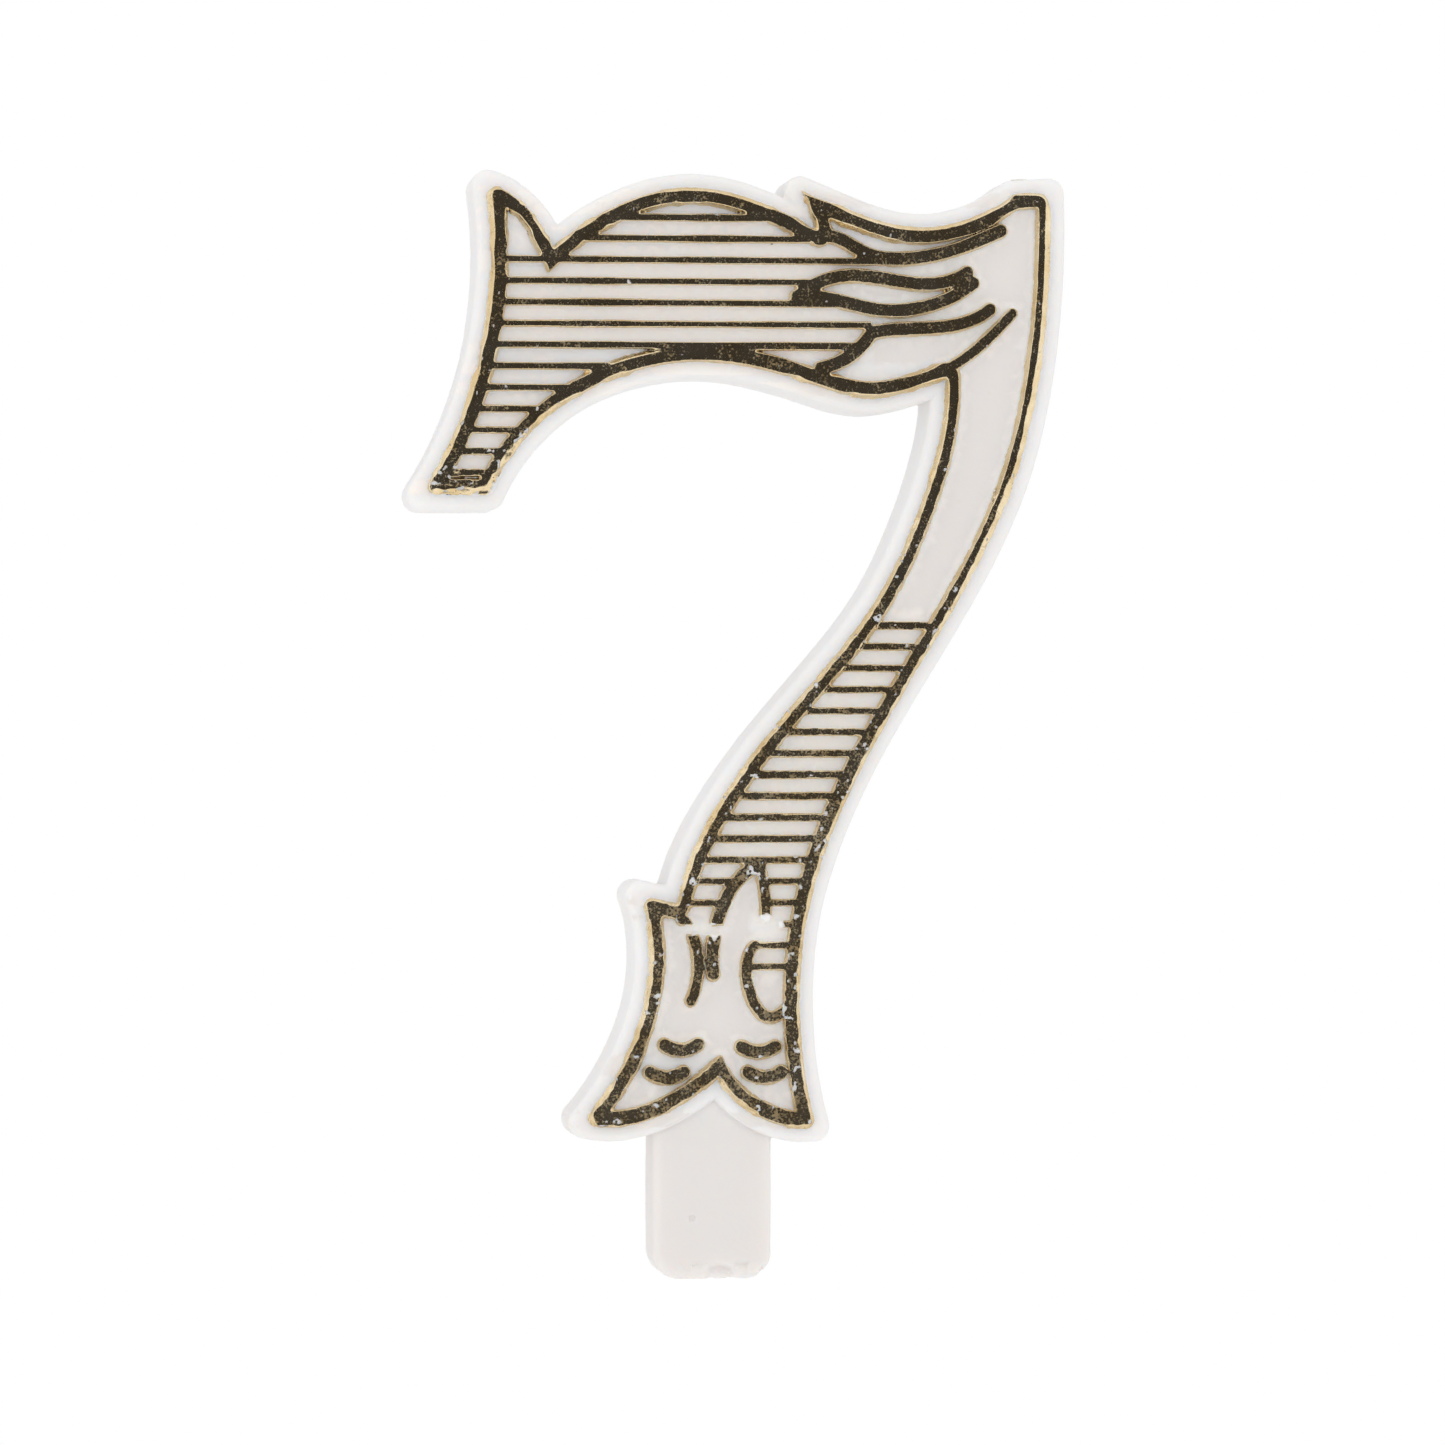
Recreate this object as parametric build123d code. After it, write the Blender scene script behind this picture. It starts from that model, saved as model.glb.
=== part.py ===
from build123d import *
import os
from math import cos, radians, sin

# Number birthday candle, numeral 7. Millimetres, +Z up, front towards -Y.
# The origin is the middle of the cake stake, level with the shoulder that stops on the icing.

# Overall sizes of the casting.
BODY_DEPTH = 8.0
STAKE_WIDTH = 9.9
STAKE_THICKNESS = 7.2
STAKE_LENGTH = 11.9
STAKE_CORNER_RADIUS = 2.2
STAKE_EDGE_RADIUS = 0.6
STAKE_ROOT_HEIGHT = 4.6

# The plain flange around the decoration, and the raised lines on it.
FLANGE_WIDTH = 1.35
FLANGE_EDGE_RADIUS = 0.7
FLANGE_EDGE_STEPS = 4
TIP_RADIUS = 0.6
RIDGE_HEIGHT = 0.6
OUTLINE_RIDGE_WIDTH = 1.15
STROKE_WIDTH = 1.05
THIN_STROKE_WIDTH = 0.85
FOIL_THICKNESS = 0.06

# Hatched panels: level lines, counted down from the top one.
HATCH_WIDTH = 0.5
HATCH_PITCH = 1.78
HEAD_HATCH_TOP = 76.7
STEM_HATCH_TOP = 42.7
STEM_FULL_LINES = 12

# Smile-shaped dashes on the foot.
DASH_WIDTH = 1.05
DASH_HALF_SPAN = 1.4
DASH_SAG = 0.45
DASH_CENTRES = [(-2.3, 7.3), (4.2, 7.1), (-3.5, 5.0), (4.7, 5.0)]

# A gap in the foil across two of the foot's strokes, where the wax is bare.
GAP_HEIGHT = 17.3
GAP_SIZE = 0.9

# Braided wick, cast into the wax.
WICK_DIAMETER = 1.5

# The numeral is drawn about its own middle line, which runs a little left of the stake's.
NUMERAL_SHIFT = -0.45

# Depths that follow from the sizes above. The stake is flush with the flat back.
BACK_Y = STAKE_THICKNESS / 2
FRONT_Y = BACK_Y - BODY_DEPTH
RIDGE_TOP_Y = FRONT_Y - RIDGE_HEIGHT

# Corners of the numeral, as (X, Z).
HORN_TIP = (-18.4, 79.3)
HORN_NOTCH = (-13.0, 74.0)
CREST_NOTCH = (9.3, 75.6)
PLUME_TIP = (7.8, 79.0)
PLUME_END = (25.7, 78.8)
TOP_CORNER = (28.8, 79.0)
FOOT_RIGHT = (8.9, 0.9)
FOOT_NOTCH = (0.8, 5.1)
FOOT_LEFT = (-10.3, 1.3)
LOBE_TIP = (-5.6, 20.1)
LOBE_NOTCH = (-2.6, 19.4)
NECK = (20.1, 63.6)
LEG_RIGHT = (-18.3, 53.6)
LEG_LEFT = (-23.8, 53.6)

# The numeral's outer edge, clockwise from the horn: smooth runs that meet in the corners.
OUTLINE_RUNS = [
    [HORN_TIP, (-16.3, 78.3), (-14.7, 76.8), (-13.7, 75.3), HORN_NOTCH],
    [HORN_NOTCH, (-8.2, 77.3), (-1.2, 79.1), (4.4, 77.9), CREST_NOTCH],
    [CREST_NOTCH, (8.7, 77.2), PLUME_TIP],
    [PLUME_TIP, (12.7, 77.0), (17.3, 75.9), (22.0, 76.7), PLUME_END],
    [PLUME_END, TOP_CORNER],
    [TOP_CORNER, (28.3, 66.9), (25.3, 53.6), (20.0, 43.2), (12.6, 30.6), (8.4, 19.5),
     (7.6, 8.8), FOOT_RIGHT],
    [FOOT_RIGHT, (6.7, 1.0), (3.7, 2.2), FOOT_NOTCH],
    [FOOT_NOTCH, (-3.1, 2.4), (-7.2, 1.1), FOOT_LEFT],
    [FOOT_LEFT, (-6.4, 7.5), (-4.8, 13.7), LOBE_TIP],
    [LOBE_TIP, LOBE_NOTCH],
    [LOBE_NOTCH, (1.3, 28.2), (7.7, 36.5), (14.3, 44.8), (18.1, 53.0), (19.8, 59.0), NECK],
    [NECK, (16.7, 62.4), (13.4, 61.9), (8.5, 63.1), (-0.8, 64.8), (-9.3, 62.8), (-13.8, 59.8),
     LEG_RIGHT],
    [LEG_RIGHT, LEG_LEFT],
    [LEG_LEFT, (-20.6, 59.8), (-18.3, 68.8), HORN_TIP],
]
ROUND_TIPS = [HORN_TIP, TOP_CORNER, FOOT_RIGHT, FOOT_LEFT, LOBE_TIP, LEG_RIGHT, LEG_LEFT]
SHARP_NOTCHES = [HORN_NOTCH, FOOT_NOTCH]

# Middle lines of the raised strokes.
CREST_LINE = [(9.0, 75.1), (10.8, 75.1), (13.3, 73.8), (16.3, 73.4), (20.0, 74.0), (24.6, 75.8)]
FLAME_TOP_LINE = [(7.4, 70.1), (8.9, 71.2), (11.1, 71.9), (14.2, 71.8), (18.4, 71.3), (21.8, 72.3)]
FLAME_FOOT_LINE = [(7.4, 70.2), (10.7, 69.9), (14.5, 69.1), (18.2, 69.4), (22.3, 71.4)]
LOWER_LINE = [(13.7, 67.2), (18.2, 67.6), (21.9, 68.2), (23.7, 69.2)]
BRANCH_LINE = [(13.7, 67.2), (11.8, 65.2), (9.4, 64.2)]
STEM_PLUME_LINE = [(18.2, 63.4), (21.4, 65.0), (24.4, 67.6), (25.6, 68.9)]
LEAF_LEFT_LINE = [(4.3, 22.8), (1.9, 20.7), (0.7, 17.8), (0.4, 16.3), (0.4, 13.6)]
LEAF_RIGHT_LINE = [(4.3, 22.6), (4.7, 20.5), (4.8, 18.4)]
LOBE_LINE = [(-3.9, 19.2), (-2.1, 18.1), (-1.0, 15.8), (-1.5, 11.4)]
POCKET_LINE = [(3.9, 16.0), (3.3, 12.6), (4.8, 10.1), (7.1, 11.6)]

# Left and right ends of each hatch line, top line first. The outline ridge also cuts them off.
HEAD_HATCH_ENDS = [
    [(-11.0, 7.0)],
    [(-11.0, 8.5)],
    [(-18.0, 15.5)],
    [(-18.5, 9.0)],
    [(-18.5, 10.8)],
    [(-19.0, 13.7)],
    [(-19.0, 12.3)],
    [(-19.5, -5.0)],
    [(-20.5, -8.0)],
    [(-21.0, -10.0)],
    [(-22.0, -12.0)],
    [(-23.0, -13.0)],
    [(-23.0, -14.0)],
]
STEM_HATCH_ENDS = [[(-3.0, 20.0)]] * STEM_FULL_LINES + [
    [(-3.0, 2.2), (4.7, 9.0)],
    [(-3.0, 1.2), (4.8, 9.0)],
    [(5.9, 6.8)],
    [(3.7, 8.0)],
    [(3.3, 8.0)],
]

# The wick's run from the top corner down the stem into the stake, from the stake's middle line.
WICK_RUN = [(26.45, 80.7), (25.95, 70.0), (23.55, 60.0), (16.35, 43.0), (5.95, 27.5), (1.35, 12.0),
            (0.0, -6.0)]


def plate(shape, back, front):
    """A flat shape of the numeral, made solid from the depth back forward to the depth front."""
    drawing = Plane(origin=(NUMERAL_SHIFT, back, 0), x_dir=(1, 0, 0), z_dir=(0, -1, 0))
    return extrude(drawing * shape, amount=back - front)


def run_edge(points):
    if len(points) == 2:
        return Line(*points)
    return Spline(*points)


def outline_shape():
    return make_face([run_edge(run) for run in OUTLINE_RUNS])


def rounded_outline():
    """The numeral with the points of its outer corners worn round."""
    outline = outline_shape()
    tips = []
    for x, z in ROUND_TIPS:
        tips.append(outline.vertices().sort_by_distance((x, z, 0))[0])
    return fillet(tips, TIP_RADIUS)


def border(width):
    """The strips that reach a given width to both sides of the outer edge."""
    bands = [trace(run_edge(run), line_width=2 * width) for run in OUTLINE_RUNS]
    joints = [Pos(*run[0]) * Circle(width) for run in OUTLINE_RUNS]
    return bands + joints


def sharp_point(run, following, width):
    """The pointed inner corner of a strip of one width along two runs that meet in a notch."""
    sides = []
    for tangent in (run_edge(run) % 1, run_edge(following) % 0):
        sides.append(Vector(tangent.Y, -tangent.X) * width)
    point = (sides[0] + sides[1]) * (width**2 / (width**2 + sides[0].dot(sides[1])))
    return Pos(*run[-1]) * make_face(Polyline((0, 0), sides[0], point, sides[1], close=True))


def sharp_points(width):
    pairs = zip(OUTLINE_RUNS, OUTLINE_RUNS[1:])
    return [sharp_point(*pair, width) for pair in pairs if pair[0][-1] in SHARP_NOTCHES]


def round_ended(middle, width):
    """A band of one width along a middle line, with round ends."""
    ends = [Pos(end.X, end.Y) * Circle(width / 2) for end in (middle @ 0, middle @ 1)]
    return trace(middle, line_width=width) + ends


def stroke(points, width=STROKE_WIDTH):
    return round_ended(Spline(*points), width)


def dash(centre):
    x, z = centre
    left = (x - DASH_HALF_SPAN, z + DASH_SAG)
    right = (x + DASH_HALF_SPAN, z + DASH_SAG)
    return round_ended(ThreePointArc(left, centre, right), DASH_WIDTH)


def hatch(top, ends):
    lines = []
    for number, spans in enumerate(ends):
        height = top - number * HATCH_PITCH
        for left, right in spans:
            lines.append(Pos((left + right) / 2, height) * Rectangle(right - left, HATCH_WIDTH))
    return Sketch() + lines


def relief():
    """Every raised line by name. Where two cross, the first one named keeps the ground."""
    outline = rounded_outline()
    inside = outline - border(OUTLINE_RIDGE_WIDTH) - sharp_points(OUTLINE_RIDGE_WIDTH)
    lines = {
        "flame": stroke(FLAME_TOP_LINE) + stroke(FLAME_FOOT_LINE),
        "crest": stroke(CREST_LINE),
        "lower_plume": stroke(LOWER_LINE) + stroke(BRANCH_LINE),
        "stem_plume": stroke(STEM_PLUME_LINE, THIN_STROKE_WIDTH),
        "leaf_left": stroke(LEAF_LEFT_LINE),
        "leaf_right": stroke(LEAF_RIGHT_LINE, THIN_STROKE_WIDTH),
        "lobe": stroke(LOBE_LINE, THIN_STROKE_WIDTH),
        "pocket": stroke(POCKET_LINE, THIN_STROKE_WIDTH),
        "head_lines": hatch(HEAD_HATCH_TOP, HEAD_HATCH_ENDS),
        "stem_lines": hatch(STEM_HATCH_TOP, STEM_HATCH_ENDS),
    }
    for number, centre in enumerate(DASH_CENTRES, start=1):
        lines["dash_" + str(number)] = dash(centre)
    free = inside
    shapes = {"outline": outline - inside}
    for name, shape in lines.items():
        shapes[name] = shape & free
        free = free - shape
    return shapes


def wick():
    run = Spline(*[(x, 0, z) for x, z in WICK_RUN])
    profile = Plane(run @ 0, z_dir=run % 0) * Circle(WICK_DIAMETER / 2)
    return sweep(profile, path=run)


def flange_slab():
    """The numeral's slab. Its front edge is worn round, in steps along a quarter circle."""
    outline = outline_shape()
    slab = plate(outline + border(FLANGE_WIDTH), BACK_Y, FRONT_Y + FLANGE_EDGE_RADIUS)
    for step in range(FLANGE_EDGE_STEPS):
        middle = radians(90 * (step + 0.5) / FLANGE_EDGE_STEPS)
        upper = radians(90 * (step + 1) / FLANGE_EDGE_STEPS)
        width = FLANGE_WIDTH - FLANGE_EDGE_RADIUS * (1 - cos(middle))
        slab += plate(outline + border(width), 0, FRONT_Y + FLANGE_EDGE_RADIUS * (1 - sin(upper)))
    return slab


def stake():
    """The flat tab that goes into the cake, rooted in the casting between the two foot lobes."""
    height = STAKE_LENGTH + STAKE_ROOT_HEIGHT
    middle = STAKE_ROOT_HEIGHT - height / 2
    tab = Pos(0, 0, middle) * Box(STAKE_WIDTH, STAKE_THICKNESS, height)
    bottom_corners = tab.edges().filter_by(Axis.Y).group_by(Axis.Z)[0]
    tab = fillet(bottom_corners, STAKE_CORNER_RADIUS)
    rim = tab.faces().sort_by(Axis.Y)[0].edges() - tab.edges().group_by(Axis.Z)[-1]
    return fillet(rim, STAKE_EDGE_RADIUS)


def wax_body(shapes, wick_solid):
    """The casting: flange slab, raised lines and stake in one piece, with the wick's bore."""
    raised = plate(Sketch() + list(shapes.values()), 0, RIDGE_TOP_Y)
    return flange_slab() + stake() + raised - wick_solid


def foils(shapes):
    """Gold foil on every raised line, split where bare wax breaks the strokes of the foot."""
    gap = Pos(0, GAP_HEIGHT) * Rectangle(STAKE_WIDTH, GAP_SIZE)
    areas = dict(shapes)
    for name, above, below in (
        ("leaf_left", "leaf_left", "leaf_bar"),
        ("lobe", "lobe_upper", "lobe_lower"),
    ):
        parts = (areas.pop(name) - gap).faces().sort_by(Axis.Y)
        areas[below] = parts[0]
        areas[above] = Sketch() + parts[1:]
    front = RIDGE_TOP_Y - FOIL_THICKNESS
    return {"foil_" + name: plate(area, RIDGE_TOP_Y, front) for name, area in areas.items()}


shapes = relief()
wick_solid = wick()
nodes = {"wax_body": wax_body(shapes, wick_solid), "wick": wick_solid}
nodes.update(foils(shapes))

os.makedirs("parts", exist_ok=True)
for name, node in nodes.items():
    export_step(node, "parts/" + name + ".step")
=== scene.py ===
import bpy
import numpy as np
from mathutils import Matrix, Vector
from mathutils.bvhtree import BVHTree


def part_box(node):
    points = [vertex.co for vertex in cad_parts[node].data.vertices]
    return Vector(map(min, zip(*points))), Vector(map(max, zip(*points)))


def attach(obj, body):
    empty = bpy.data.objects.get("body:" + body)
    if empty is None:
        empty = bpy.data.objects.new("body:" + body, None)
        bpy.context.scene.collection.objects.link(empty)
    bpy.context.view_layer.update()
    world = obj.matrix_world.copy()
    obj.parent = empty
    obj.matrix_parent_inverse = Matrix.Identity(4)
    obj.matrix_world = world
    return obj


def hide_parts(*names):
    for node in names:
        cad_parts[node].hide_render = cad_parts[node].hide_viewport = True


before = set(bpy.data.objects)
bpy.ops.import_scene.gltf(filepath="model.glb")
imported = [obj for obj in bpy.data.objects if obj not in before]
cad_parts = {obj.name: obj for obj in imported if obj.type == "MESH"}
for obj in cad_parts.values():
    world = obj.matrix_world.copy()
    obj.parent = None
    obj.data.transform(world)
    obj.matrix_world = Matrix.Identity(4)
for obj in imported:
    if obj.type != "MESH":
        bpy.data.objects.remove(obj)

# Looks of the number birthday candle: milky wax, gold foil on the raised lines, cotton wick.
# Meshes are worked on in millimetres and scaled to the frame's metres at the end.

MM = 1000
BODY = "root"

# Fineness of the remodelled casting, and how far its edges are worn round.
VOXEL = 0.1
SMOOTHING = 5
MAX_FACES = 190000

# How far a ridge's flank reaches beyond the foil at its top and at its foot: hatch lines, other
# strokes, the outline's inner flank down the stem, its outer flank, and that flank where it is wide.
FINE_FLANK = (0.05, 0.10)
INNER_FLANK = (0.01, 0.13)
STEM_FLANK = (-0.20, 0.13)
OUTER_FLANK = (-0.15, 0.28)
WIDE_FLANK = (-0.50, 0.28)

# How far from a stroke another one still counts as its neighbour.
GAP_REACH = 0.5

# The foil as a thin sheet: its height over the wax, its thickness, how deep the wax gives way, and
# the angle in degrees past which its shading breaks at an edge.
FOIL_LIFT = 0.025
FOIL_SHEET = 0.03
FOIL_BED = 0.035
RIM_ANGLE = 65

# Levels of the casting's front, from the CAD boxes.
FOIL_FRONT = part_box("foil_outline")[0][1] * MM
RIDGE_HEIGHT = 0.6
RIDGE_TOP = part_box("foil_outline")[1][1] * MM
FRONT = RIDGE_TOP + RIDGE_HEIGHT
BEHIND_FRONT = FRONT + 0.3

# Regions of the relief: where each one fades in or out, or starts, along X or Z.
LEG_SIDE = (-13.5, -8.5)
LEG_TOP = (60.0, 62.5)
HORN_START = (-18.6, -17.8)
HORN_END = (-13.4, -12.8)
HORN_LOW = 70
STEM_LEFT = -9.0
STEM_RIGHT = 10.0
STEM_SIDE = (22.5, 23.5)
STEM_LEAN = 0.27
STEM_LEAN_FROM = 60
STEM_WIDE_FROM = (38.0, 52.0)
STEM_INNER_FROM = (30.0, 45.0)
WORN_STEM_TOP = (40.0, 66.0)
WORN_LEG_SIDE = (-16.0, -11.0)
WORN_LEG_TOP = (55.0, 62.0)
PLUME_SIDE = (6.0, 12.0)
HEAD_FOOT = 50.0
SMEAR_HEIGHT = 17.3
SMEAR_START = (-2.7, -2.2)
SMEAR_END = (1.0, 1.6)
BLOT_X = 4.3
CORNER_ROUNDING = 1.2
CORNER_EDGE = (0.85, 1.5)

# Ends of the stake and the wick, and marks on the stake as X, Z, radius and depth.
STAKE_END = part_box("wax_body")[0][2] * MM
GATE_SCAR = (0.6, STAKE_END, 1.5, 0.3)
PINHOLE = (-1.7, STAKE_END + 5.1, 0.35, 0.12)
WICK_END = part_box("wax_body")[1][2] * MM - 0.15

# The CAD box that the casting is kept inside, and the outline's top right corner.
BOX_MARGIN = 0.01
CAD_LOW, CAD_HIGH = [np.array(corner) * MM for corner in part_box("wax_body")]
OUTLINE_RIGHT, OUTLINE_TOP = [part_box("foil_outline")[1][axis] * MM for axis in (0, 2)]

# The foil's nodes, and which of them are hatch lines.
FOIL_NODES = sorted(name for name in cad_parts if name.startswith("foil_"))
FINE = np.array([node.endswith("_lines") for node in FOIL_NODES])

# One turn of a strand round the wick.
BRAID_PITCH = 1.6

# Colours, as linear red, green and blue.
WAX_DULL = (0.85, 0.835, 0.825)
WAX_BRIGHT = (0.88, 0.87, 0.868)
WAX_STREAK = (0.84, 0.81, 0.78)
# Painted shade: the thick panels inside the outline and the stake, darker and warmer than the thin
# flange that light shines through.
WAX_PANEL_SHADE = (0.81, 0.775, 0.752)
# Painted highlight: the cells between hatch lines and a halo at the feet of strokes, where the wax
# catches the light.
WAX_PAINTED_HIGHLIGHT = (0.955, 0.90, 0.86)
WAX_SPECK = (0.22, 0.17, 0.12)
GOLD_DEEP = (0.68, 0.52, 0.29)
GOLD_PALE = (0.80, 0.67, 0.45)
GOLD_SPOT = (0.86, 0.74, 0.54)
COTTON_DARK = (0.62, 0.58, 0.50)
COTTON_PALE = (0.86, 0.83, 0.77)
TENT_WHITE = (1.0, 0.995, 0.985)
TENT_FAR = (0.70, 0.70, 0.70)
TENT_DARK = (0.042, 0.041, 0.044)

# The floor, in metres: half its width, and how far under the stake it lies.
FLOOR_HALF = 0.6
FLOOR_DROP = 0.0005

# The direction that the wax's light is strongest from, and how squarely a direction looks at the
# camera's side where the tent's dark opening starts and where it is fully dark.
LIGHT_FROM = (-0.25, -0.85, 0.46)
TENT_OPENING = (0.55, 0.75)

# The camera: its long lens and sensor in millimetres, and where it stands and what it looks at in
# metres. It stands about 0.56 m away.
LENS = 167
SENSOR = 36
CAMERA_PLACE = (-0.0605, -0.5604, 0.032)
CAMERA_AIM = (0.00075, -0.0044, 0.0346)


# ---------------------------------------------------------------- mesh work

def hashed(lattice, seed):
    """A fixed value from -1 to 1 for each lattice point, scrambled by the seed."""
    value = np.sin(lattice @ np.array([127.1, 311.7, 74.7]) + seed * 53.3) * 43758.5453
    return 2 * (value - np.floor(value)) - 1


def noise(points, size, seed):
    """Smooth values from -1 to 1 at the points, that change over the given size."""
    place = points / size
    cell = np.floor(place)
    fade = place - cell
    fade = fade * fade * (3 - 2 * fade)
    total = np.zeros(len(points))
    for corner in np.ndindex(2, 2, 2):
        weight = np.prod(np.where(corner, fade, 1 - fade), axis=1)
        total += weight * hashed(cell + corner, seed)
    return total


def rise(values, start, end):
    """A soft step from 0 at start to 1 at end."""
    part = np.clip((values - start) / (end - start), 0, 1)
    return part * part * (3 - 2 * part)


def read_mesh(mesh):
    """Points, normals and triangles of a mesh as arrays."""
    points = np.zeros(len(mesh.vertices) * 3)
    mesh.vertices.foreach_get("co", points)
    normals = np.zeros(len(mesh.vertices) * 3)
    mesh.vertex_normals.foreach_get("vector", normals)
    mesh.calc_loop_triangles()
    triangles = np.zeros(len(mesh.loop_triangles) * 3, dtype=np.int32)
    mesh.loop_triangles.foreach_get("vertices", triangles)
    return points.reshape(-1, 3), normals.reshape(-1, 3), triangles.reshape(-1, 3)


def move_points(mesh, points):
    """Puts the mesh's points at new places."""
    mesh.vertices.foreach_set("co", points.ravel())
    mesh.update()


def with_modifiers(mesh, *settings):
    """The mesh after modifiers, each given as its kind and its settings."""
    worked = bpy.data.objects.new("worked", mesh)
    bpy.context.collection.objects.link(worked)
    for kind, values in settings:
        modifier = worked.modifiers.new(kind, kind)
        for key, value in values.items():
            setattr(modifier, key, value)
    depsgraph = bpy.context.evaluated_depsgraph_get()
    result = bpy.data.meshes.new_from_object(worked.evaluated_get(depsgraph))
    bpy.data.objects.remove(worked)
    return result


def cad_surface(node):
    """Points in millimetres and triangles of a CAD node, joined at its edges."""
    points, _, triangles = read_mesh(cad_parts[node].data)
    points, index = np.unique(np.round(points * MM, 3), axis=0, return_inverse=True)
    return points, index.ravel()[triangles]


def mesh_of(name, points, triangles):
    """A mesh from arrays."""
    mesh = bpy.data.meshes.new(name)
    mesh.from_pydata(points.tolist(), [], triangles.tolist())
    return mesh


def remodelled(mesh, voxel, smoothing):
    """A fine, worn-round copy of a mesh."""
    remesh = ("REMESH", {"mode": "VOXEL", "voxel_size": voxel})
    smooth = ("SMOOTH", {"factor": 0.5, "iterations": smoothing})
    return with_modifiers(mesh, remesh, smooth)


def within_outline(points):
    """1 for the points on the outline ridge or enclosed by it, seen from the front.

    A level ray to the right meets the band twice each time it goes through it. From outside it
    goes through an even number of times, so the count divides by four.
    """
    tree = BVHTree.FromPolygons(*[part.tolist() for part in cad_surface("foil_outline")])
    level = (FOIL_FRONT + RIDGE_TOP) / 2
    along = Vector((1, 0, 0))
    inside = np.zeros(len(points))
    for index in np.flatnonzero(points[:, 1] < BEHIND_FRONT):
        start = Vector((points[index, 0], level, points[index, 2]))
        crossings = 0
        hit = tree.ray_cast(start, along)[0]
        while hit is not None:
            crossings += 1
            hit = tree.ray_cast(hit + along * 1e-4, along)[0]
        inside[index] = crossings % 4 > 0
    return inside


def decimated(mesh, faces):
    """The mesh with about the given number of triangles at most."""
    mesh.calc_loop_triangles()
    ratio = min(1, faces / len(mesh.loop_triangles))
    return with_modifiers(mesh, ("DECIMATE", {"ratio": ratio, "use_collapse_triangulate": True}))


def piece(name, mesh, node, material):
    """Shows a mesh, given in millimetres, in place of a CAD node."""
    mesh.transform(Matrix.Scale(1 / MM, 4))
    mesh.shade_smooth()
    mesh.materials.clear()
    mesh.materials.append(material)
    shown = bpy.data.objects.new(name, mesh)
    bpy.context.collection.objects.link(shown)
    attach(shown, BODY)
    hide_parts(node)
    return shown


# ---------------------------------------------------------------- casting

def uneven(points, normals, distance):
    """The casting's unevenness: slow waves, a fine orange skin, and lumps on worn ridge tops."""
    waves = 0.035 * noise(points, 5.0, 1) + 0.015 * noise(points, 1.3, 2)
    skin = 0.005 * noise(points, 0.35, 3)
    lumps = 0.10 * worn(points) * noise(points, 0.5, 9) * (1 - rise(distance, -0.01, 0.12))
    return points + normals * (waves + skin + lumps)[:, None]


def poured_back(points):
    """The open side of the mould sets with shallow ripples."""
    back = rise(points[:, 1], 3.0, 3.5)
    ripple = 0.12 * noise(points * (1, 1, 0.6), 4.0, 4) + 0.04 * noise(points, 1.1, 5)
    points[:, 1] -= back * (0.16 + ripple)
    return points


def chipped_stake(points, normals):
    """The stake's snapped-off end, its gate scar and a pinhole above it."""
    band = 1 - rise(points[:, 2], STAKE_END + 1.1, STAKE_END + 1.7)
    chips = np.minimum(0, noise(points, 0.7, 6)) * 0.3 + 0.04 * noise(points, 0.25, 7)
    points = points + normals * (band * chips)[:, None]
    front = 1 - rise(points[:, 1], -3.4, -2.6)
    for x, z, radius, depth in (GATE_SCAR, PINHOLE):
        reach = np.hypot(points[:, 0] - x, points[:, 2] - z)
        points[:, 1] += front * depth * (1 - rise(reach, radius * 0.7, radius))
    return points


def outward_of(points, triangles):
    """Level directions out of the flanks of a flat plate, at its points."""
    corners = points[triangles]
    facing = np.cross(corners[:, 1] - corners[:, 0], corners[:, 2] - corners[:, 0])
    facing[np.abs(facing[:, 1]) > 0.5 * np.linalg.norm(facing, axis=1)] = 0
    outward = np.zeros_like(points)
    for corner in range(3):
        np.add.at(outward, triangles[:, corner], facing)
    outward[:, 1] = 0
    return outward / np.linalg.norm(outward, axis=1, keepdims=True)


def wide_flanks(points, outward):
    """Where the outline's outer flank is wide: the leg and the stem's right side."""
    x, z = points[:, 0], points[:, 2]
    leg = (outward[:, 0] - outward[:, 2] > 0) * (1 - rise(x, *LEG_SIDE)) * (1 - rise(z, *LEG_TOP))
    beside_stem = rise(x - STEM_LEAN * (z - STEM_LEAN_FROM), *STEM_SIDE)
    stem = (outward[:, 0] > 0.5) * beside_stem * rise(z, *STEM_WIDE_FROM)
    return np.maximum(leg, stem)


def inner_flanks(points, outward):
    """Where the outline's inner flank is wide: the stem's strokes, and twice that on the horn."""
    x, z = points[:, 0], points[:, 2]
    left = (outward[:, 0] > 0.5) * (x > STEM_LEFT)
    right = (outward[:, 0] < -0.5) * (x > STEM_RIGHT) * rise(z, *STEM_INNER_FROM)
    horn = (outward[:, 0] < -0.3) * rise(x, *HORN_START) * (1 - rise(x, *HORN_END)) * (z > HORN_LOW)
    return np.maximum(np.maximum(left, right), 2 * horn)


def flank_of(node, points, outward):
    """The flank's reach at the ridge's top and foot, for each point of a foil node."""
    if node.endswith("_lines"):
        return np.tile(FINE_FLANK, (len(points), 1))
    if node != "foil_outline":
        return np.tile(INNER_FLANK, (len(points), 1))
    outer = within_outline(points + 0.15 * outward)[:, None] == 0
    wide = wide_flanks(points, outward)[:, None]
    outside = wide * WIDE_FLANK + (1 - wide) * OUTER_FLANK
    widened = inner_flanks(points, outward)[:, None]
    inside = widened * STEM_FLANK + (1 - widened) * INNER_FLANK
    return np.where(outer, outside, inside)


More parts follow.
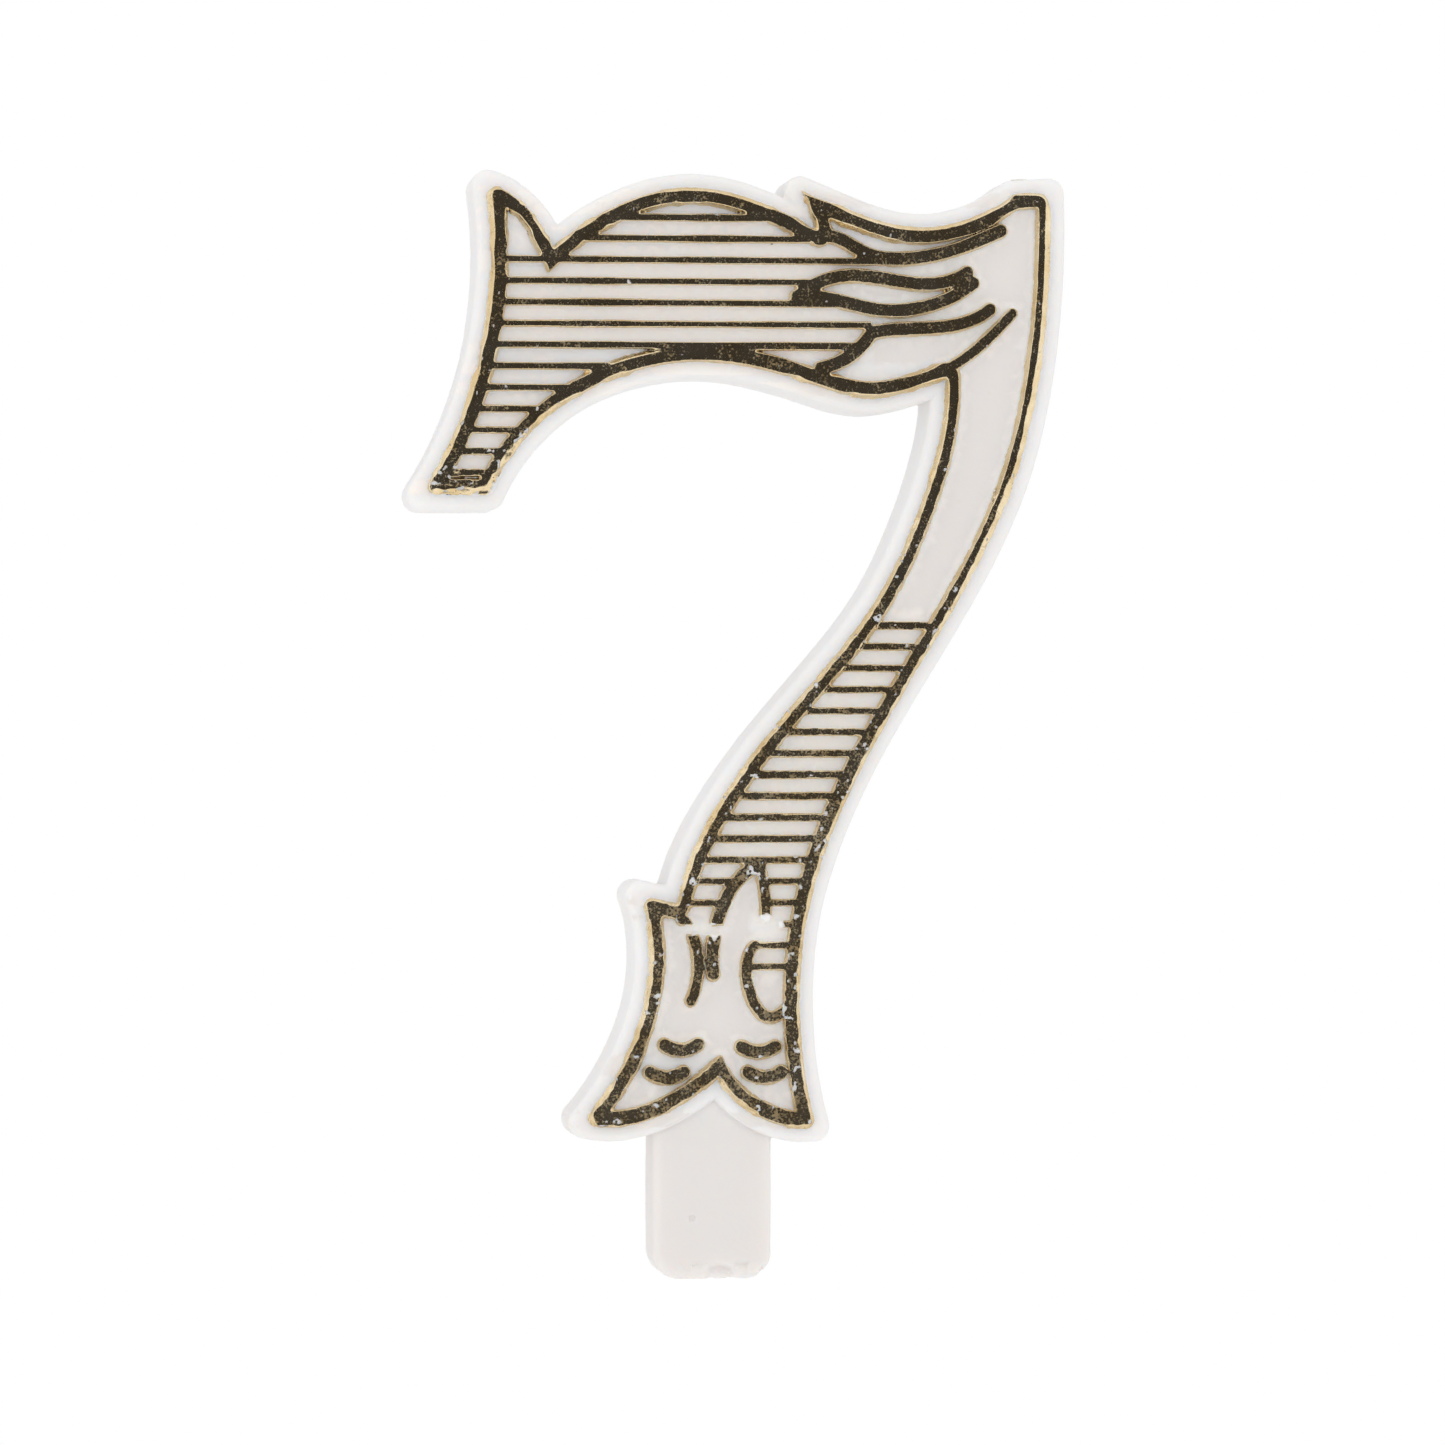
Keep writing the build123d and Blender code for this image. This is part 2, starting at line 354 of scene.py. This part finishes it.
def drafted_ridge(node):
    """A foil area made into a ridge that widens towards its foot."""
    points, triangles = cad_surface(node)
    outward = outward_of(points, triangles)
    flank = flank_of(node, points, outward)
    flank = flank * (1 + 0.35 * noise(points, 2.0, 8))[:, None]
    front = points[:, 1] < RIDGE_TOP - 0.03
    deeper = 0.2
    foot = flank[:, 1] + (flank[:, 1] - flank[:, 0]) * deeper / RIDGE_HEIGHT
    points = points + outward * np.where(front, flank[:, 0], foot)[:, None]
    points[:, 1] = np.where(front, RIDGE_TOP, FRONT + deeper)
    return points, triangles


def levelled_casting():
    """The CAD casting with its ridges pressed flat."""
    points, triangles = cad_surface("wax_body")
    points[:, 1] = np.maximum(points[:, 1], FRONT)
    return points, triangles


def joined_casting():
    """The casting with drafted ridges in place of its own, as one mesh of overlapping shells."""
    shells = [levelled_casting()] + [drafted_ridge(node) for node in FOIL_NODES]
    starts = np.cumsum([0] + [len(points) for points, _ in shells[:-1]])
    points = np.vstack([points for points, _ in shells])
    triangles = np.vstack([triangles + start for (_, triangles), start in zip(shells, starts)])
    return mesh_of("joined", points, triangles)


def parted(points, foil_areas, distance, owner):
    """A clear valley between two strokes that run close together."""
    beside = second_foil(foil_areas, points, distance, owner)
    valley = rise(distance, 0.03, 0.12) * (1 - rise(beside - distance, 0.08, 0.22))
    points[:, 1] += valley * np.maximum(0, FRONT + 0.02 - points[:, 1])
    return points


def rounded_corner(points):
    """The outline's top right corner comes out of the mould round."""
    x = points[:, 0] - (OUTLINE_RIGHT - CORNER_ROUNDING)
    z = points[:, 2] - (OUTLINE_TOP - CORNER_ROUNDING)
    beyond = rise(np.hypot(np.maximum(x, 0), np.maximum(z, 0)), *CORNER_EDGE)
    points[:, 1] += beyond * (x > 0) * (z > 0) * np.maximum(0, FRONT - points[:, 1])
    return points


def casting_surface(foil_areas):
    """The casting's modelled surface, and the distance to the foil and its node at each point."""
    mesh = remodelled(joined_casting(), VOXEL, SMOOTHING)
    points, normals, _ = read_mesh(mesh)
    raised = (points[:, 1] < FRONT - 0.05) & (normals[:, 1] < 0.1)
    distance, owner = nearest_foil(foil_areas, points, raised)
    points = parted(points, foil_areas, distance, owner)
    points = rounded_corner(points)
    points = uneven(points, normals, distance)
    points = poured_back(points)
    points = chipped_stake(points, normals)
    move_points(mesh, np.clip(points, CAD_LOW + BOX_MARGIN, CAD_HIGH - BOX_MARGIN))
    return mesh, distance, owner


# ---------------------------------------------------------------- foil

def foil_map():
    """Search tree over every foil area, laid flat, and the node that each face belongs to."""
    points = []
    faces = []
    owners = []
    for number, node in enumerate(FOIL_NODES):
        place, triangles = cad_surface(node)
        faces += (triangles + len(points)).tolist()
        points += (place * (1, 0, 1)).tolist()
        owners += [number] * len(triangles)
    return BVHTree.FromPolygons(points, faces), owners


def nearest_foil(foil_areas, points, raised):
    """Distance to the nearest foil area and its number, for the raised points."""
    tree, owners = foil_areas
    distance = np.full(len(points), 9.0)
    owner = np.zeros(len(points), dtype=int)
    for index in np.flatnonzero(raised):
        x, _, z = points[index]
        _, _, face, away = tree.find_nearest((x, 0, z))
        distance[index] = away
        owner[index] = owners[face]
    return distance, owner


def second_foil(foil_areas, points, distance, owner):
    """Distance to the nearest stroke of another node, for points just off a stroke."""
    tree, owners = foil_areas
    beside = np.full(len(points), 9.0)
    for index in np.flatnonzero((distance > 0.02) & (distance < GAP_REACH) & ~FINE[owner]):
        x, _, z = points[index]
        for _, _, face, away in tree.find_nearest_range((x, 0, z), GAP_REACH):
            if owners[face] != owner[index] and not FINE[owners[face]]:
                beside[index] = min(beside[index], away)
    return beside


def worn(points):
    """How worn the foil is: hardly on the head, more down the stem and at the leg's foot."""
    x, z = points[:, 0], points[:, 2]
    stem = 0.6 * (1 - rise(z, *WORN_STEM_TOP))
    leg = 0.9 * (1 - rise(x, *WORN_LEG_SIDE)) * (1 - rise(z, *WORN_LEG_TOP))
    return 0.15 + stem + leg


def smear(points):
    """A smear of bare wax across the strokes of the foot, from 0 to 1."""
    x, z = points[:, 0], points[:, 2]
    wander = 0.55 * noise(points, 0.9, 17) + 0.25 * noise(points, 0.4, 18)
    band = 1 - rise(np.abs(z - SMEAR_HEIGHT + wander), 0.25, 0.65)
    from_blot = np.hypot(x - BLOT_X, (z - SMEAR_HEIGHT - 0.2) * 1.4)
    blot = 1 - rise(from_blot + 1.5 * wander, 1.0, 1.7)
    along = rise(x, *SMEAR_START) * (1 - rise(x, *SMEAR_END))
    return np.maximum(band * along, blot) * (points[:, 1] < BEHIND_FRONT)


def foil_cover(points, normals, distance, owner):
    """Above zero where foil covers the casting."""
    height = FRONT - points[:, 1]
    raised = (height > 0.05) & (normals[:, 1] < -0.02)
    fine = FINE[owner]
    ragged = 0.045 * noise(points, 0.5, 11) + 0.035 * noise(points, 0.18, 12)
    edge = 0.16 + 0.16 * fine + 0.07 * normals[:, 0] + 0.05 * normals[:, 2] + ragged
    reach = 0.42 - 0.30 * rise(height, 0.42, 0.56)
    cover = np.minimum(height - edge, reach - distance + 2 * ragged * rise(distance, 0, 0.2))
    flecks = noise(points, 0.45, 13) + 0.5 * noise(points, 0.2, 14)
    flecks += worn(points) * (0.55 - 0.3 * fine)
    cover = np.minimum(cover, 1.2 - flecks)
    cover = np.minimum(cover, 0.5 - smear(points))
    cover[~raised] = -1
    return cover


def turned(triangles, odd):
    """Each triangle's corners from the odd one on."""
    order = (odd.argmax(axis=1)[:, None] + np.arange(3)) % 3
    return np.take_along_axis(triangles, order, axis=1)


def cut_out(points, triangles, cover):
    """The surface where the cover is above zero, cut along its edge."""
    inside = cover[triangles] > 0
    count = inside.sum(axis=1)
    whole = triangles[count == 3]
    single = turned(triangles[count == 1], inside[count == 1])
    double = turned(triangles[count == 2], ~inside[count == 2])
    sides = np.vstack([single[:, [0, 1]], single[:, [0, 2]], double[:, [0, 1]], double[:, [0, 2]]])
    sides.sort(axis=1)
    sides, index = np.unique(sides, axis=0, return_inverse=True)
    index = index.ravel() + len(points)
    near, far = cover[sides[:, 0]], cover[sides[:, 1]]
    part = (near / (near - far))[:, None]
    edge = points[sides[:, 0]] * (1 - part) + points[sides[:, 1]] * part
    ones, twos = len(single), len(double)
    single_ab, single_ac, double_ab, double_ac = np.split(index, [ones, 2 * ones, 2 * ones + twos])
    tips = np.column_stack([single[:, 0], single_ab, single_ac])
    left = np.column_stack([double_ab, double[:, 1], double[:, 2]])
    right = np.column_stack([double_ab, double[:, 2], double_ac])
    return np.vstack([points, edge]), np.vstack([whole, tips, left, right])


def crinkled(points, normals):
    """The foil's own surface: a hair above the wax, with small creases."""
    crease = 0.006 * noise(points, 0.6, 15) + 0.004 * noise(points, 0.22, 16)
    lifted = points + normals * (FOIL_LIFT + crease)[:, None]
    lifted[:, 1] = np.maximum(lifted[:, 1], FOIL_FRONT + 0.01)
    return lifted


def build_foils(casting, distance, owner, material):
    """One foil piece for each foil node. Returns where the casting is covered."""
    points, normals, triangles = read_mesh(casting)
    cover = foil_cover(points, normals, distance, owner)
    lifted = crinkled(points, normals)
    belongs = owner[triangles].max(axis=1)
    for number, node in enumerate(FOIL_NODES):
        own = triangles[belongs == number]
        places, faces = cut_out(lifted, own, cover)
        used, faces = np.unique(faces, return_inverse=True)
        mesh = mesh_of(node + "_look", places[used], faces.reshape(-1, 3))
        shown = piece(node + "_look", mesh, node, material)
        thickness = shown.modifiers.new("thickness", "SOLIDIFY")
        thickness.thickness = FOIL_SHEET / MM
        rim = shown.modifiers.new("rim", "EDGE_SPLIT")
        rim.split_angle = np.radians(RIM_ANGLE)
    return cover


def clear_of_lines(points):
    """0 in the head's hatched part, 1 on the plumes and down the stem."""
    plumes = rise(points[:, 0] + 0.1 * (75 - points[:, 2]), *PLUME_SIDE)
    return np.maximum(plumes, points[:, 2] < HEAD_FOOT)


def mark_panels(mesh, foil_areas):
    """Marks painted shade, darker and warmer, on the panels and stake, and a paler painted highlight
    on the cells between lines and feet of strokes.
    """
    points, _, _ = read_mesh(mesh)
    distance, owner = nearest_foil(foil_areas, points, points[:, 1] < BEHIND_FRONT)
    enclosed = within_outline(points)
    # Painted shade on the panels inside the outline, left off where the smear of bare wax lies.
    field_shade = enclosed * (1 - smear(points))
    unlined = clear_of_lines(points)
    # Painted highlights: the cells between hatch lines, and a halo at the feet of strokes where their
    # fillets catch the light.
    cells = 0.8 * np.maximum(FINE[owner] * (1 - rise(distance, 0.9, 1.3)), 1 - unlined)
    halo = (1 - rise(distance, 0.25, 0.65)) * unlined
    painted_highlight = mesh.attributes.new("painted_highlight", "FLOAT", "POINT")
    painted_highlight.data.foreach_set("value", enclosed * np.maximum(cells, halo))
    # Painted shade on the stake below the flange, at 0.8 strength.
    on_stake = (1 - rise(points[:, 2], 0.0, 5.0)) * rise(points[:, 1], FRONT + 0.45, FRONT + 0.65)
    panel_shade = mesh.attributes.new("panel_shade", "FLOAT", "POINT")
    panel_shade.data.foreach_set("value", np.maximum(field_shade, 0.8 * on_stake))


def build_casting(casting, cover, foil_areas, material):
    """The wax, sunk a little where foil lies on it."""
    points, normals, _ = read_mesh(casting)
    sunk = FOIL_BED * rise(cover, -0.02, 0.05)
    move_points(casting, points - normals * sunk[:, None])
    mesh = decimated(casting, MAX_FACES)
    mark_panels(mesh, foil_areas)
    piece("wax_body_look", mesh, "wax_body", material)


# ---------------------------------------------------------------- wick

def braided(points):
    """Presses a braid's slanting strands into the wick around its middle line."""
    slices = np.round(points[:, 2] / 0.5).astype(int)
    slices -= slices.min()
    count = np.bincount(slices)
    middle = np.column_stack([np.bincount(slices, points[:, axis]) / count for axis in (0, 1)])
    away = points[:, :2] - middle[slices]
    angle = np.arctan2(away[:, 1], away[:, 0])
    climb = points[:, 2] * 2 * np.pi / BRAID_PITCH
    strands = np.maximum(np.sin(2 * angle + climb), np.sin(2 * angle - climb))
    fibres = 0.03 * noise(points * (1, 1, 0.3), 0.15, 21)
    points[:, :2] -= away * (0.10 * (1 - strands) + 0.03 + fibres)[:, None]
    return points


def build_wick(material):
    """The wick as a braid, cut level with the wax."""
    mesh = remodelled(mesh_of("wick_core", *cad_surface("wick")), 0.1, 3)
    points, _, _ = read_mesh(mesh)
    points = braided(points)
    points[:, 2] = np.minimum(points[:, 2], WICK_END)
    move_points(mesh, points)
    piece("wick_look", decimated(mesh, 60000), "wick", material)


# ---------------------------------------------------------------- materials

def shader_node(tree, kind, inputs=None, **settings):
    """A node with its settings, and its inputs set to values or linked to sockets."""
    node = tree.nodes.new(kind)
    for key, value in settings.items():
        setattr(node, key, value)
    for key, value in (inputs or {}).items():
        if isinstance(value, bpy.types.NodeSocket):
            tree.links.new(value, node.inputs[key])
        else:
            node.inputs[key].default_value = value
    return node


def new_material(name):
    """A material with its principled shader and object coordinates in millimetres."""
    material = bpy.data.materials.new(name)
    material.use_nodes = True
    tree = material.node_tree
    place = shader_node(tree, "ShaderNodeTexCoord").outputs["Object"]
    scaled = shader_node(tree, "ShaderNodeMapping", {"Vector": place, "Scale": (MM, MM, MM)})
    return material, tree, tree.nodes["Principled BSDF"], scaled.outputs["Vector"]


def stretched(tree, place, scale):
    """The place, scaled differently along each axis."""
    return shader_node(tree, "ShaderNodeMapping", {"Vector": place, "Scale": scale}).outputs["Vector"]


def noise_value(tree, place, scale, detail=3.0):
    """A cloudy value, mostly near a half."""
    inputs = {"Vector": place, "Scale": scale, "Detail": detail}
    return shader_node(tree, "ShaderNodeTexNoise", inputs).outputs["Fac"]


def ramp(tree, value, stops):
    """Colours along a value, given as (position, colour)."""
    node = shader_node(tree, "ShaderNodeValToRGB", {"Fac": value})
    elements = node.color_ramp.elements
    while len(elements) < len(stops):
        elements.new(1.0)
    for element, (position, colour) in zip(elements, stops):
        element.position = position
        element.color = (*colour, 1)
    return node.outputs["Color"]


def levels(tree, value, start, end, low, high):
    """A value from low to high, as the given value goes from start to end."""
    inputs = {"Value": value, "From Min": start, "From Max": end, "To Min": low, "To Max": high}
    return shader_node(tree, "ShaderNodeMapRange", inputs).outputs["Result"]


def blend_colour(tree, factor, first, second):
    """From the first colour to the second as the factor goes from 0 to 1."""
    node = shader_node(tree, "ShaderNodeMix", data_type="RGBA")
    for socket, value in ((node.inputs[0], factor), (node.inputs[6], first), (node.inputs[7], second)):
        if isinstance(value, bpy.types.NodeSocket):
            tree.links.new(value, socket)
        else:
            socket.default_value = (*value, 1)
    return node.outputs[2]


def bump(tree, height, strength, distance):
    """A normal that follows the height's ups and downs."""
    inputs = {"Height": height, "Strength": strength, "Distance": distance}
    return shader_node(tree, "ShaderNodeBump", inputs).outputs["Normal"]


def wax_material():
    """Milky paraffin: cloudy, a little warmer in streaks, with a few tiny specks, painted shade on the
    panels and stake, and painted highlights in the cells and at the feet of strokes.
    """
    material, tree, shader, place = new_material("milky_wax")
    clouds = noise_value(tree, place, 0.12)
    milk = ramp(tree, clouds, [(0.35, WAX_DULL), (0.65, WAX_BRIGHT)])
    streaks = noise_value(tree, stretched(tree, place, (0.9, 0.9, 0.14)), 1.0, 2.0)
    streak_part = levels(tree, streaks, 0.45, 0.8, 0.0, 0.3)
    milk = blend_colour(tree, streak_part, milk, WAX_STREAK)
    # Painted shade: darker, warmer wax on the panels and the stake.
    panel_shade = shader_node(tree, "ShaderNodeAttribute", attribute_name="panel_shade").outputs["Fac"]
    milk = blend_colour(tree, panel_shade, milk, WAX_PANEL_SHADE)
    # Painted highlight in the cells and at the feet of strokes.
    painted_highlight = shader_node(tree, "ShaderNodeAttribute", attribute_name="painted_highlight").outputs["Fac"]
    milk = blend_colour(tree, painted_highlight, milk, WAX_PAINTED_HIGHLIGHT)
    cells = shader_node(tree, "ShaderNodeTexVoronoi", {"Vector": place, "Scale": 0.16})
    speck = levels(tree, cells.outputs["Distance"], 0.012, 0.024, 1.0, 0.0)
    milk = blend_colour(tree, speck, milk, WAX_SPECK)
    tree.links.new(milk, shader.inputs["Base Color"])
    gloss = levels(tree, noise_value(tree, place, 0.8), 0.3, 0.7, 0.42, 0.58)
    tree.links.new(gloss, shader.inputs["Roughness"])
    shader.inputs["IOR"].default_value = 1.44
    shader.inputs["Subsurface Weight"].default_value = 0.85
    shader.inputs["Subsurface Radius"].default_value = (1.0, 0.85, 0.7)
    shader.inputs["Subsurface Scale"].default_value = 0.0012
    skin = noise_value(tree, place, 2.5, 6.0)
    tree.links.new(bump(tree, skin, 0.35, 0.00006), shader.inputs["Normal"])
    return material


def foil_material():
    """Champagne-gold hot foil, crinkled finely and dulled in patches."""
    material, tree, shader, place = new_material("gold_foil")
    patches = noise_value(tree, place, 0.5, 4.0)
    gold = ramp(tree, patches, [(0.35, GOLD_DEEP), (0.65, GOLD_PALE)])
    spots = noise_value(tree, place, 4.5, 4.0)
    spot_part = levels(tree, spots, 0.62, 0.72, 0.0, 0.7)
    gold = blend_colour(tree, spot_part, gold, GOLD_SPOT)
    tree.links.new(gold, shader.inputs["Base Color"])
    shader.inputs["Metallic"].default_value = 1.0
    grain = noise_value(tree, place, 6.5, 4.0)
    patch = levels(tree, noise_value(tree, place, 0.9, 3.0), 0.4, 0.65, 0.12, 0.0)
    grain = shader_node(tree, "ShaderNodeMath", {0: grain, 1: patch}, operation="SUBTRACT")
    height = shader_node(tree, "ShaderNodeSeparateXYZ", {"Vector": place}).outputs["Z"]
    scuffed = levels(tree, height, 15.0, 60.0, 0.053, 0.0)
    grain = shader_node(tree, "ShaderNodeMath", {0: grain.outputs[0], 1: scuffed}, operation="ADD")
    sheen = levels(tree, height, 12.0, 55.0, 0.265, 0.12)
    dull = levels(tree, grain.outputs[0], 0.50, 0.66, sheen, 0.85)
    tree.links.new(dull, shader.inputs["Roughness"])
    crinkle = noise_value(tree, place, 4.0, 4.0)
    tree.links.new(bump(tree, crinkle, 0.6, 0.00004), shader.inputs["Normal"])
    return material


def wick_material():
    """Natural braided cotton, soaked with wax."""
    material, tree, shader, place = new_material("cotton_wick")
    fibres = noise_value(tree, stretched(tree, place, (6.0, 6.0, 1.2)), 1.0, 6.0)
    cotton = ramp(tree, fibres, [(0.3, COTTON_DARK), (0.7, COTTON_PALE)])
    tree.links.new(cotton, shader.inputs["Base Color"])
    rough = levels(tree, fibres, 0.3, 0.7, 0.6, 0.85)
    tree.links.new(rough, shader.inputs["Roughness"])
    tree.links.new(bump(tree, fibres, 0.6, 0.00008), shader.inputs["Normal"])
    return material


# ---------------------------------------------------------------- studio

def tent_light(tree):
    """A white tent with a dark opening on the camera's side, mirrored by the foil's tops."""
    direction = shader_node(tree, "ShaderNodeTexCoord").outputs["Generated"]
    towards = shader_node(tree, "ShaderNodeVectorMath", {0: direction, 1: (0, -1, 0)},
                          operation="DOT_PRODUCT").outputs["Value"]
    aside = levels(tree, towards, -1.0, 0.2, 0.0, 1.0)
    white = blend_colour(tree, aside, TENT_FAR, TENT_WHITE)
    dark = levels(tree, towards, *TENT_OPENING, 0.0, 1.0)
    return blend_colour(tree, dark, white, TENT_DARK)


def soft_light(tree):
    """Even light for the wax, a little stronger from the front and from above."""
    direction = shader_node(tree, "ShaderNodeTexCoord").outputs["Generated"]
    towards = shader_node(tree, "ShaderNodeVectorMath", {0: direction, 1: LIGHT_FROM},
                          operation="DOT_PRODUCT").outputs["Value"]
    part = levels(tree, towards, -1.0, 1.0, 0.0, 1.0)
    return blend_colour(tree, part, (0.58, 0.58, 0.59), (1.08, 1.08, 1.08))


def chosen_shader(tree, factor, first, second):
    """The first shader at factor 0 and the second at 1."""
    mixed = shader_node(tree, "ShaderNodeMixShader", {0: factor})
    tree.links.new(first, mixed.inputs[1])
    tree.links.new(second, mixed.inputs[2])
    return mixed.outputs[0]


def background(tree, colour, strength):
    """A world shader of the given colour and strength."""
    inputs = {"Color": colour, "Strength": strength}
    return shader_node(tree, "ShaderNodeBackground", inputs).outputs[0]


def world_light():
    """Soft light on the wax, the tent in the foil, and plain white behind the candle."""
    world = bpy.data.worlds.new("tent")
    world.use_nodes = True
    tree = world.node_tree
    tree.nodes.clear()
    path = shader_node(tree, "ShaderNodeLightPath")
    soft = background(tree, soft_light(tree), 1.0)
    tent = background(tree, tent_light(tree), 1.15)
    plain = background(tree, (1, 1, 1, 1), 1.0)
    lit = chosen_shader(tree, path.outputs["Is Glossy Ray"], soft, tent)
    shown = chosen_shader(tree, path.outputs["Is Camera Ray"], lit, plain)
    output = shader_node(tree, "ShaderNodeOutputWorld")
    tree.links.new(shown, output.inputs["Surface"])
    bpy.context.scene.world = world


def floor():
    """A lit white floor just under the stake."""
    low = STAKE_END / MM - FLOOR_DROP
    mesh = bpy.data.meshes.new("floor")
    corners = [(x * FLOOR_HALF, y * FLOOR_HALF, low) for x, y in ((-1, -1), (1, -1), (1, 1), (-1, 1))]
    mesh.from_pydata(corners, [], [(0, 1, 2, 3)])
    material = bpy.data.materials.new("lit_floor")
    material.use_nodes = True
    tree = material.node_tree
    tree.nodes.clear()
    glow = shader_node(tree, "ShaderNodeEmission", {"Color": (1, 1, 1, 1), "Strength": 1.0})
    output = shader_node(tree, "ShaderNodeOutputMaterial")
    tree.links.new(glow.outputs[0], output.inputs["Surface"])
    mesh.materials.append(material)
    plane = bpy.data.objects.new("floor", mesh)
    bpy.context.collection.objects.link(plane)
    plane.visible_glossy = False


def camera():
    """A long lens a little to the left of the candle, at half its height."""
    lens = bpy.data.cameras.new("camera")
    lens.lens = LENS
    lens.sensor_width = SENSOR
    shown = bpy.data.objects.new("camera", lens)
    shown.location = CAMERA_PLACE
    aim = Vector(CAMERA_AIM) - shown.location
    shown.rotation_euler = aim.to_track_quat("-Z", "Y").to_euler()
    bpy.context.collection.objects.link(shown)
    bpy.context.scene.camera = shown


def plain_colours():
    """Colours as rendered, with no film look."""
    view = bpy.context.scene.view_settings
    view.view_transform = "Standard"
    view.look = "None"


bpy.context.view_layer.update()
foil_areas = foil_map()
casting, distance, owner = casting_surface(foil_areas)
cover = build_foils(casting, distance, owner, foil_material())
build_casting(casting, cover, foil_areas, wax_material())
build_wick(wick_material())
world_light()
floor()
camera()
plain_colours()
